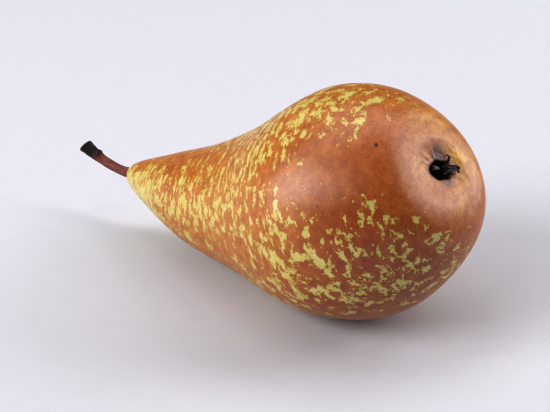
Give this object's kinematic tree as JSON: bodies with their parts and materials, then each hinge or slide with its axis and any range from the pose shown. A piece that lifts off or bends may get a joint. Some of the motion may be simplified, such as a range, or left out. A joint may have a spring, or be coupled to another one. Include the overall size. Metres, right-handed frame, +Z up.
{
  "type": "pear",
  "caption": "Whole russet dessert pear with a tapering neck and a woody stem, lying on its side on a small flat spot, with an open calyx at the blossom end.",
  "frame": {"origin": "middle of the footprint of the lying pear, on the surface that it rests on", "axes": "+Z up, +X towards the calyx (blossom) end along the long direction of the lying pear, stem towards -X, +Y to the left when looking from the stem towards the calyx"},
  "size_m": [0.143, 0.066, 0.0666],
  "materials": {
    "skin": "thin waxy russet skin, orange-brown with ragged yellow-green flecks, satin",
    "stem_bark": "dry reddish-brown bark, nearly black at the cut end, matt",
    "calyx_dry": "withered papery sepals, black-brown with grey edges, matt",
    "stamen_dry": "withered stamens, black-brown, matt"
  },
  "bodies": {
    "root": {"pear_body": "skin", "stem": "stem_bark", "sepal_1": "calyx_dry", "sepal_2": "calyx_dry", "sepal_3": "calyx_dry", "sepal_4": "calyx_dry", "sepal_5": "calyx_dry", "stamen_tuft": "stamen_dry"}
  },
  "joints": []
}
